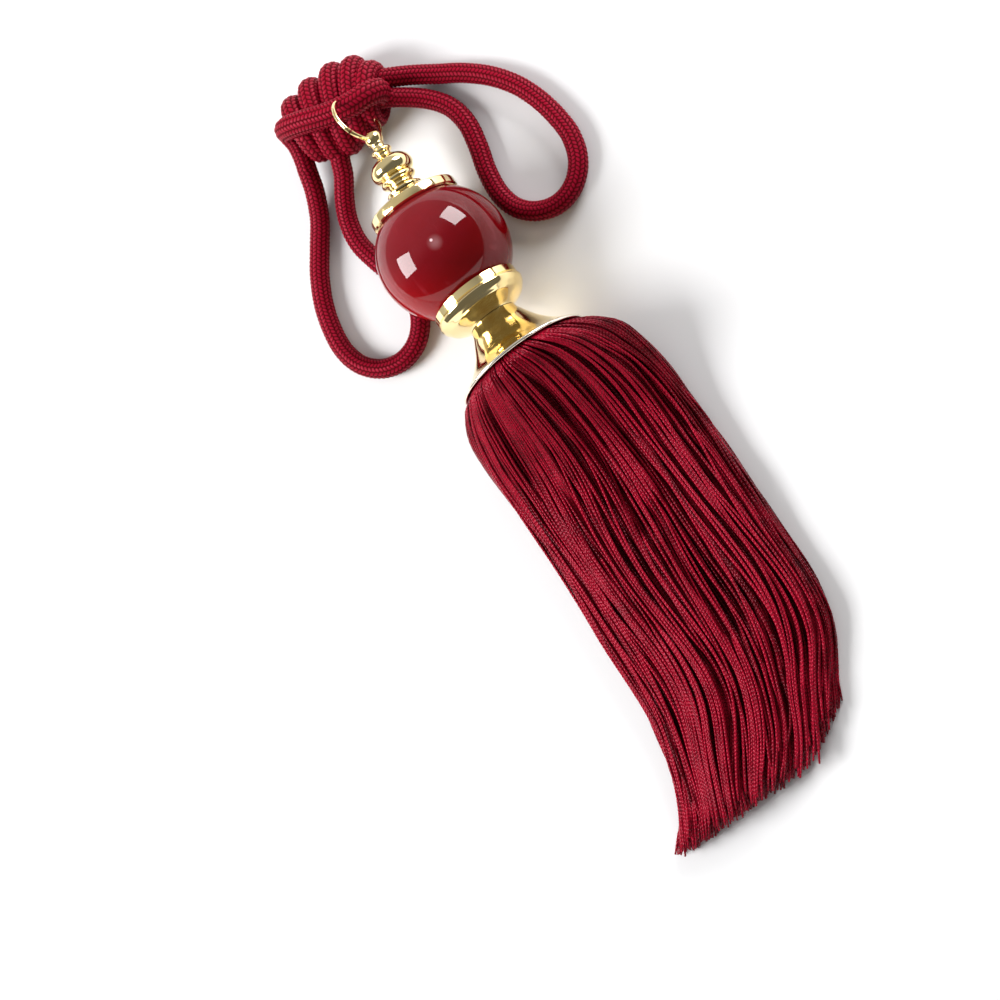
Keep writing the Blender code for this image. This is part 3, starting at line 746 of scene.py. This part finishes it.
# ---------------- fringe
# A strand is placed by three numbers: across and up run from -1 to 1 over the fringe's section, and share
# from 0 at the head to 1 at the tips.
ROOT_SHARE = 0.016  # by here a strand has come from the head's face to the pile
FRINGE = np.array([
    # share, half_width, height, round, across
    (0.000, 21.2, 42.4, 1.00, 2.0),
    (ROOT_SHARE, 25.0, 46.2, 0.95, 2.0),
    (0.050, 30.8, 43.0, 0.70, 2.2),
    (0.110, 33.6, 34.5, 0.40, 1.6),
    (0.240, 34.4, 21.0, 0.10, 0.8),
    (0.520, 35.0, 14.5, 0.00, 0.2),
    (0.760, 33.8, 12.5, 0.00, -2.6),
    (0.885, 32.2, 10.0, 0.00, -12.2),
    (1.000, 30.0, 8.0, 0.00, -24.2),
])
PILE_HALF_WIDE = 35.0  # at its widest; it turns the locks' widths into places across
SIDE_DROP = 0.78  # how much lower the pile lies at its sides
WAVE = 0.8
WAVE_ALONG, WAVE_ACROSS = 0.055, 0.16
FRINGE_TIP_Y = -204.0

YARN_R = 0.45
YARN_THICKNESS = (0.86, 1.1)  # of a strand, as a share of YARN_R
YARN_CUT = 0.75  # the same at the very tip
YARN_SIDES = 5
YARN_PLIES = 2.0
YARN_TWIST = 1.25
YARN_TONE, YARN_TONE_SPREAD = 0.45, 0.30
STRAND_ROWS, STRAND_COLUMNS = 13, 84
FRINGE_PARTS = [
    # name, from row, to row
    ("fringe_lowest", 0, 4),
    ("fringe_lower", 4, 7),
    ("fringe_middle", 7, 10),
    ("fringe_upper", 10, STRAND_ROWS),
]
STATIONS = 48  # points along a strand, closer together near the head:
EASED, EVEN = 0.45, 0.55  # how much of its way is eased in, and how much is even
JITTER = 0.35  # in rows and columns
TOP_ROWS, TOP_SINK = 2, 2.0  # the loose rows on top, and how many rows deep they may lie
UNDER, UNDER_SHARE = 0.10, 0.18  # how much lower every second strand lies, until this share
LEAN = 0.20  # how far the upper strands drift towards the left of the pile
LEANS = (0.03, 0.5)  # the shares between which they do

CUT_WAVES = [
    # size, waves across, turn from row to row
    (1.0, 27, 0.35),
    (0.6, 11, -0.8),
]
CUT_WAVES_TOP = 1.6  # the two sizes together
TIP_SPREAD = 5.5  # how far apart the waves set the tips
RAGGED = 1.5
EDGE_PULL, EDGE_FROM = 11.0, 0.45  # the cut draws back by this much at the right side, from here on
EDGE_SPAN = 0.3  # about the square of what lies beyond EDGE_FROM
SPLAY, SPLAY_UP, SPLAY_FROM = 1.5, 0.5, 0.92

WANDERS = [
    # size, slowest, fastest, the shares between which it sets in
    (0.65, 8, 16, 0.02, 0.3),
    (0.32, 18, 34, 0.02, 0.3),
    (1.1, 14, 30, 0.50, 0.95),
]
WANDER_ASIDE, WANDER_UP = (0.2, 1.0), (0.3, 1.1)

LOCKS = [
    # width, pull, the shares between which they begin to close, rise
    (9.0, 0.38, (0.02, 0.25), 1.1),
    (3.2, 0.50, (0.0, 0.3), 0.9),
    (6.5, 0.60, (0.82, 0.88), 0.0),
]
LOCK_ROWS = 3  # rows that close into locks together
LOCK_WIDTHS = (0.45, 1.6)  # of one lock, as a share of the given width; so too below
LOCK_PULLS = (0.3, 1.0)
LOCK_SWAYS = (0.1, 0.9)
LOCK_HEIGHTS = (-1.0, 0.6)
LOCK_CLOSES = 0.22  # the share of the way in which a lock closes
WIDTHS_TO_SWAY = 9
LOCK_LOOSENS, LOOSENS_WAVES, LOOSENS_PHASE = 0.25, 9, 3
SWAY_WAVES, SWAY_SETS_IN = 7, (0.05, 0.5)

# Where the pile sinks between heavy locks: the valleys run along the strands.
VALLEYS = [
    # across at the root, from share, to share, half width, depth
    (-0.58, 0.02, 0.26, 0.040, 0.26),
    (0.14, 0.04, 0.46, 0.045, 0.32),
    (0.90, 0.08, 0.34, 0.040, 0.26),
    (-0.30, 0.24, 0.62, 0.050, 0.34),
    (0.34, 0.36, 0.74, 0.050, 0.38),
    (0.76, 0.45, 0.86, 0.040, 0.30),
    (-0.62, 0.58, 1.05, 0.050, 0.38),
    (0.08, 0.64, 1.05, 0.050, 0.40),
    (0.55, 0.80, 1.05, 0.040, 0.30),
]
VALLEY_END = 0.07  # the share in which a valley's end runs out

# Added to a strand's tone: painted shade in a valley and in a low lock for each millimetre, painted light
# at the tips.
VALLEY_PAINTED_SHADE, LOW_LOCK_PAINTED_SHADE, TIP_PAINTED_LIGHT = -1.6, 0.2, 0.30
TIP_PAINTED_LIGHT_SETS_IN = (0.88, 0.97)

STRAYS = 84
STRAY_EASE = 1.15
STRAY_REACH = (0.955, 1.0)
STRAY_SIDE = 0.96  # they start no further across than this
STRAY_ASIDE = 0.10
STRAY_WAVES, STRAY_SWAY, STRAY_SWAYS_FROM = (5, 13), 0.022, (0.05, 0.3)
STRAY_SINK = 0.6  # how much of a valley's depth they follow
STRAY_UP = 1.98  # their height in the pile, which is 2 at its top
STRAY_LIFT, STRAY_LIFTS = 1.3, (0.03, 0.1)
STRAY_TONES = (0.45, 1.15)


def smooth_table(share, table):
    """The columns of a table at any share, on a smooth curve through its rows."""
    at, rows = table[:, 0], table[:, 1:]
    slope = np.diff(rows, axis=0) / np.diff(at)[:, None]
    tangent = np.vstack([slope[:1], (slope[:-1] + slope[1:]) / 2, slope[-1:]])
    flat = np.vstack([slope[:1], slope]) * np.vstack([slope, slope[-1:]]) <= 0
    tangent[flat] = 0.0
    k = np.clip(np.searchsorted(at, share, side="right") - 1, 0, len(at) - 2)
    span = (at[k + 1] - at[k])[..., None]
    t = ((share - at[k])[..., None]) / span
    leaves, arrives = tangent[k] * span, tangent[k + 1] * span
    first_half = (2 * t**3 - 3 * t**2 + 1) * rows[k] + (t**3 - 2 * t**2 + t) * leaves
    return first_half + (3 * t**2 - 2 * t**3) * rows[k + 1] + (t**3 - t**2) * arrives


def section_points(across, up, share):
    """Points of the fringe's section, for arrays of the same shape."""
    half_width, height, roundness, middle = np.moveaxis(smooth_table(share, FRINGE), -1, 0)
    disc_x, disc_z = across * np.sqrt(1 - up**2 / 2), up * np.sqrt(1 - across**2 / 2)
    depth = np.full(across.shape, HEAD_FACE_S - ROOT_DEPTH)
    face = from_axis(np.stack([ROOT_R * disc_x, ROOT_R * disc_z, depth], axis=-1), LOWER)
    crown = np.sqrt(1 - SIDE_DROP * across**2)
    pile_x, pile_z = middle + half_width * across, height * crown * (up + 1) / 2
    ball_x, ball_z = middle + half_width * disc_x, height * (disc_z + 1) / 2
    x = pile_x + (ball_x - pile_x) * roundness
    z = pile_z + (ball_z - pile_z) * roundness
    y = face[..., 1] + (FRINGE_TIP_Y - face[..., 1]) * share
    x = x + WAVE * np.sin(WAVE_ALONG * y + WAVE_ACROSS * x) * (1 - roundness)
    root = np.clip(1 - share / ROOT_SHARE, 0, 1)
    x, z = x + (face[..., 0] - x) * root, z + (face[..., 2] - z) * root
    return np.stack([x, y, z], axis=-1)


def lock_edges(width):
    """Places across the pile where one lock ends and the next begins."""
    edges = [-1.0 - random.uniform(0, width) / PILE_HALF_WIDE]
    while edges[-1] < 1:
        edges.append(edges[-1] + width * random.uniform(*LOCK_WIDTHS) / PILE_HALF_WIDE)
    return np.array(edges)


def locks(across, row, share, width, pull, opens, rise):
    """Draws neighbouring strands together into locks about this wide, in millimetres. Each lock has its
    own width, closes by its own share of pull from its own place on, sways by itself and lies higher or
    lower than the next, by up to the rise. Gives the places across and the lift."""
    moved, lift = across.copy(), np.zeros(across.shape)
    layers = {layer: lock_edges(width) for layer in np.unique(row // LOCK_ROWS)}
    for layer, edges in layers.items():
        mine = row[:, 0] // LOCK_ROWS == layer
        lock = np.clip(np.searchsorted(edges, across[mine, 0]) - 1, 0, len(edges) - 2)
        way = share[mine]
        ranges = (LOCK_PULLS, opens, (0, FULL_TURN), LOCK_SWAYS)
        pulls, begins, phase, sway = (random.uniform(*ends, len(edges))[lock][:, None] for ends in ranges)
        centre = ((edges[:-1] + edges[1:]) / 2)[lock][:, None]
        closed = smooth_step(way, begins, begins + LOCK_CLOSES)
        tight = (1 - LOCK_LOOSENS) + LOCK_LOOSENS * np.sin(phase * LOOSENS_PHASE + way * LOOSENS_WAVES)
        moved[mine] += (centre - across[mine]) * (pulls * pull * closed * tight)
        sway = sway * width / WIDTHS_TO_SWAY / PILE_HALF_WIDE
        moved[mine] += sway * np.sin(phase + way * SWAY_WAVES) * smooth_step(way, *SWAY_SETS_IN)
        lift[mine] = random.uniform(*LOCK_HEIGHTS, len(edges))[lock][:, None] * rise * closed
    return moved, lift


def lean(across, share):
    """How far a strand of the top layer has moved over by this share of its way."""
    return LEAN * (1 - across**2) * smooth_step(share, *LEANS)


def valleys(across, share):
    """The share of its height that the pile has lost here."""
    sunk = np.zeros(share.shape)
    for place, begins, ends, half_width, depth in VALLEYS:
        opens = smooth_step(share, begins, begins + VALLEY_END)
        closes = smooth_step(share, ends - VALLEY_END, ends)
        reach = opens * (1 - closes)
        sunk = np.maximum(sunk, depth * reach * np.exp(-(((across - place) / half_width) ** 2)))
    return sunk


def strand_grid():
    """Where the strands start: the column and the row of each, and its places across and up."""
    column, row = np.meshgrid(np.arange(STRAND_COLUMNS), np.arange(STRAND_ROWS))
    column, row = column.ravel()[:, None], row.ravel()[:, None]
    jitter = random.uniform(-JITTER, JITTER, (len(column), 2))
    # The top of the pile is loose: its strands lie at all heights, with gaps between the proud ones.
    top = row[:, 0] >= STRAND_ROWS - TOP_ROWS
    jitter[top, 1] = random.uniform(-TOP_SINK, JITTER, top.sum())
    across = 2 * (column + 0.5 + jitter[:, :1]) / STRAND_COLUMNS - 1
    up = 2 * (row + 0.5 + jitter[:, 1:]) / STRAND_ROWS - 1
    across, up = across / (1 - 1 / STRAND_COLUMNS), up / (1 - 1 / STRAND_ROWS)
    return column, row, np.clip(across, -1, 1), np.clip(up, -1, 1)


def strand_reach(column, row):
    """The share of the fringe's length at which each strand is cut."""
    place = 2 * (column + 0.5) / STRAND_COLUMNS - 1
    wave = sum(size * np.sin(waves * place + turn * row) for size, waves, turn in CUT_WAVES)
    edge = EDGE_PULL * np.maximum(place - EDGE_FROM, 0.0) ** 2 / EDGE_SPAN
    ragged = random.uniform(0, RAGGED, place.shape) + random.exponential(RAGGED, place.shape)
    cut = TIP_SPREAD * (1 + wave / CUT_WAVES_TOP) / 2 + edge + ragged
    return 1 - cut / abs(FRINGE_TIP_Y)


def strand_paths():
    """Centre lines of all strands, as an array of strands, stations and coordinates, each strand's row, and
    the painted shade and light that is added to its tone at each station."""
    column, row, across, up = strand_grid()
    reach = strand_reach(column, row)
    t = np.linspace(0.0, 1.0, STATIONS)[None, :]
    share = reach * (EASED * t**2 + EVEN * t)
    across, up, row = (np.broadcast_to(value, share.shape) for value in (across, up, row))
    # At the root every second strand lies a layer lower, so the yarn is as thick there as further on.
    under = (column % 2) * UNDER * np.clip(1 - share / UNDER_SHARE, 0, 1)
    up = up - under * np.clip(up + 1, 0, 1)
    sunk = valleys(across, share)
    across = across - lean(across, share) * (up + 1) / 2
    lift = 0.0
    for width, pull, opens, rise in LOCKS:
        across, risen = locks(across, row, share, width, pull, opens, rise)
        lift = lift + risen
    lift = lift * (up + 1) / 2
    up = (up + 1) * (1 - sunk) - 1
    made = section_points(np.clip(across, -1.0, 1.0), up, share)
    made[..., 2] += lift

    each, both = (len(column), 1), (len(column), 2, 1)
    for size, slowest, fastest, begins, full in WANDERS:
        phase, speed = random.uniform(0, FULL_TURN, both), random.uniform(slowest, fastest, both)
        sets_in = smooth_step(share, begins, full)[:, None, :]
        wander = np.sin(phase + speed * share[:, None, :]) * size * sets_in
        made[..., 0] += wander[:, 0] * random.uniform(*WANDER_ASIDE, each)
        made[..., 2] += wander[:, 1] * random.uniform(*WANDER_UP, each)
    splay = random.normal(0, SPLAY, both) * smooth_step(share / reach, SPLAY_FROM, 1.0)[:, None, :]
    made[..., 0] += splay[:, 0]
    made[..., 2] += splay[:, 1] * SPLAY_UP
    made[..., 2] = np.maximum(made[..., 2], YARN_R)
    # Painted shade darkens strands that lie low between two locks, and painted light makes the loose ends
    # paler.
    painted_shade_and_light = VALLEY_PAINTED_SHADE * sunk + LOW_LOCK_PAINTED_SHADE * np.minimum(lift, 0.0)
    painted_shade_and_light = painted_shade_and_light + TIP_PAINTED_LIGHT * smooth_step(share / reach, *TIP_PAINTED_LIGHT_SETS_IN)
    return made, row[:, 0], painted_shade_and_light


def stray_paths():
    """Loose strands that lie on the pile across the others."""
    each = (STRAYS, 1)
    share = np.linspace(0.0, 1.0, STATIONS)[None, :] ** STRAY_EASE * random.uniform(*STRAY_REACH, each)
    start = random.uniform(-STRAY_SIDE, STRAY_SIDE, each)
    aside = random.normal(0, STRAY_ASIDE, each)
    phase, speed = random.uniform(0, FULL_TURN, each), random.uniform(*STRAY_WAVES, each)
    sway = STRAY_SWAY * np.sin(phase + speed * share) * smooth_step(share, *STRAY_SWAYS_FROM)
    across = start - lean(start, share) + aside * share + sway
    up = STRAY_UP * (1 - valleys(start, share) * STRAY_SINK) - 1
    made = section_points(np.clip(across, -1, 1), up, share)
    made[..., 2] += YARN_R * STRAY_LIFT * smooth_step(share, *STRAY_LIFTS)
    return made


def yarn_piece(name, paths, yarn, tones):
    """Many strands as one piece: a closed tube of YARN_SIDES sides along each path, with a tone at each
    station."""
    count, stations = paths.shape[:2]
    heading = np.gradient(paths, axis=1)
    heading /= np.linalg.norm(heading, axis=2)[..., None]
    side_way = np.cross(heading, (0.0, 0.0, 1.0))
    side_way /= np.linalg.norm(side_way, axis=2)[..., None]
    up_way = np.cross(side_way, heading)
    around = circle(YARN_SIDES)
    thick = YARN_R * random.uniform(*YARN_THICKNESS, (count, 1)) * np.ones((1, stations))
    thick[:, -1] *= YARN_CUT
    sideways = side_way[:, :, None, :] * np.cos(around)[:, None]
    upwards = up_way[:, :, None, :] * np.sin(around)[:, None]
    points = paths[:, :, None, :] + (sideways + upwards) * thick[:, :, None, None]

    middle = np.arange(YARN_SIDES - 2)
    strand = [grid_faces(stations, YARN_SIDES)]
    for first, corners in ((0, [0, 2, 1, 1]), ((stations - 1) * YARN_SIDES, [0, 1, 2, 2])):
        fan = np.stack([np.zeros_like(middle), middle + 1, middle + 2], axis=1) + first
        strand.append(fan[:, corners])
    firsts = stations * YARN_SIDES * np.arange(count)[:, None, None]
    faces = (np.vstack(strand)[None] + firsts).reshape(-1, 4)

    steps = np.linalg.norm(np.diff(paths, axis=1), axis=2)
    run = np.concatenate([np.zeros((count, 1)), np.cumsum(steps, axis=1)], axis=1)
    turn = random.uniform(0, 1, (count, 1, 1)) + around[None, None, :] / FULL_TURN
    shape = count, stations, YARN_SIDES
    uv = np.stack([np.broadcast_to(turn, shape), np.broadcast_to(run[:, :, None], shape)], axis=-1)
    return new_piece(
        name, points.reshape(-1, 3), faces, [yarn],
        uv=uv.reshape(-1, 2), tone=np.repeat(tones.ravel(), YARN_SIDES),
    )


def make_fringe(yarn):
    """The strands in four layers, the loose ones on top, and the head that they grow from."""
    paths, row, painted_shade_and_light = strand_paths()
    # Each strand's tone is its own at random, with the painted shade and light added.
    tones = np.clip(random.normal(YARN_TONE, YARN_TONE_SPREAD, (len(paths), 1)) + painted_shade_and_light, 0.0, 1.0)
    for name, low, high in FRINGE_PARTS:
        mine = (row >= low) & (row < high)
        yarn_piece(name, paths[mine], yarn, tones[mine])
    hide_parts("fringe")
    strays = stray_paths()
    tones = random.uniform(*STRAY_TONES, (STRAYS, 1)) * np.ones(strays.shape[:2])
    yarn_piece("fringe_strays", strays, yarn, tones)
    back, face = (HEAD_BACK_R, HEAD_BACK_S), (HEAD_R, HEAD_FACE_S)
    strokes = [disc(back), [back, face], disc(face)[::-1]]
    head = turned_mesh("fringe_head", strokes, LOWER, [yarn], steps=HEAD_STEPS)
    # All zero, so the head is as deep in colour as the deepest strand.
    head.data.attributes.new("tone", "FLOAT", "POINT")


# ---------------- studio
ROOM_TINT = (1.0, 0.98, 0.96, 1)
ROOM = [
    # direction, how near it the light begins and is full (as a cosine), dim, bright
    ((-0.28, 0.95, 0.12), 0.05, 0.55, 0.14, 0.52),
    ((-0.13, -0.67, -0.73), 0.32, 0.36, 0.0, 1.70),
]
LIGHTS = [
    # name, direction from the ball, distance, width, height, watts, mirrored by glossy pieces
    ("softbox_right", (0.80, 0.49, 0.34), 1.15, 0.56, 0.56, 18.0, True),
    ("softbox_left", (-0.748, 0.161, 0.644), 1.15, 0.58, 0.58, 22.0, True),
    ("fill_above", (0.05, 0.10, 1.0), 1.60, 1.8, 1.8, 4.0, False),
]
FLOOR_HALF = 6.0  # metres, as are the lights' sizes


def make_room():
    """A dim room, lighter on the rope's side, with a white sweep in front of the fringe."""
    world = bpy.data.worlds.new("room")
    bpy.context.scene.world = world
    world.use_nodes = True
    tree = world.node_tree
    way = tree.nodes.new("ShaderNodeTexCoord").outputs["Generated"]

    def towards(direction, low, high, dim, bright):
        """The room's light: it grows from dim to bright as the way turns to a direction."""
        dot = tree.nodes.new("ShaderNodeVectorMath")
        dot.operation = "DOT_PRODUCT"
        tree.links.new(way, dot.inputs[0])
        dot.inputs[1].default_value = direction
        made = tree.nodes.new("ShaderNodeMapRange")
        made.interpolation_type = "SMOOTHSTEP"
        tree.links.new(dot.outputs["Value"], made.inputs[0])
        for socket, value in zip(made.inputs[1:5], (low, high, dim, bright)):
            socket.default_value = value
        return made.outputs[0]

    lighter = tree.nodes.new("ShaderNodeMath")
    lighter.operation = "MAXIMUM"
    for socket, row in zip(lighter.inputs, ROOM):
        tree.links.new(towards(*row), socket)
    background = tree.nodes["Background"]
    background.inputs["Color"].default_value = ROOM_TINT
    tree.links.new(lighter.outputs[0], background.inputs["Strength"])


def make_studio():
    """A pale floor, two square softboxes where the ball mirrors them, a fill and a quiet room."""
    mesh = bpy.data.meshes.new("floor")
    corners = [(x * FLOOR_HALF, y * FLOOR_HALF, 0.0) for x, y in ((-1, -1), (1, -1), (1, 1), (-1, 1))]
    mesh.from_pydata(corners, [], [(0, 1, 2, 3)])
    mesh.materials.append(floor_material())
    floor = placed("floor", mesh)

    for name, direction, distance, width, height, watts, mirrored in LIGHTS:
        data = bpy.data.lights.new(name, "AREA")
        data.shape, data.size, data.size_y, data.energy = "RECTANGLE", width, height, watts
        light = placed(name, data)
        way = Vector(direction).normalized()
        light.location = BALL_CENTRE * MM + way * distance
        light.rotation_euler = way.to_track_quat("Z", "Y").to_euler()
        light.visible_glossy = mirrored
    make_room()
    bpy.context.scene.view_settings.view_transform = "Standard"


def main():
    make_camera()
    braid, yarn = rope_material(), yarn_material()
    gilt = gilt_material("gilt", GILT, GILT_WARM, GILT_ROUGHNESS)
    rim = gilt_material("pale_gilt", PALE_GILT, PALE_GILT_WARM, PALE_GILT_ROUGHNESS)
    make_rope(braid)
    finial = make_fittings(gilt, rim)
    cut_eye(finial, gilt)
    make_ring(gilt)
    make_ball(resin_material())
    make_fringe(yarn)
    make_studio()


main()
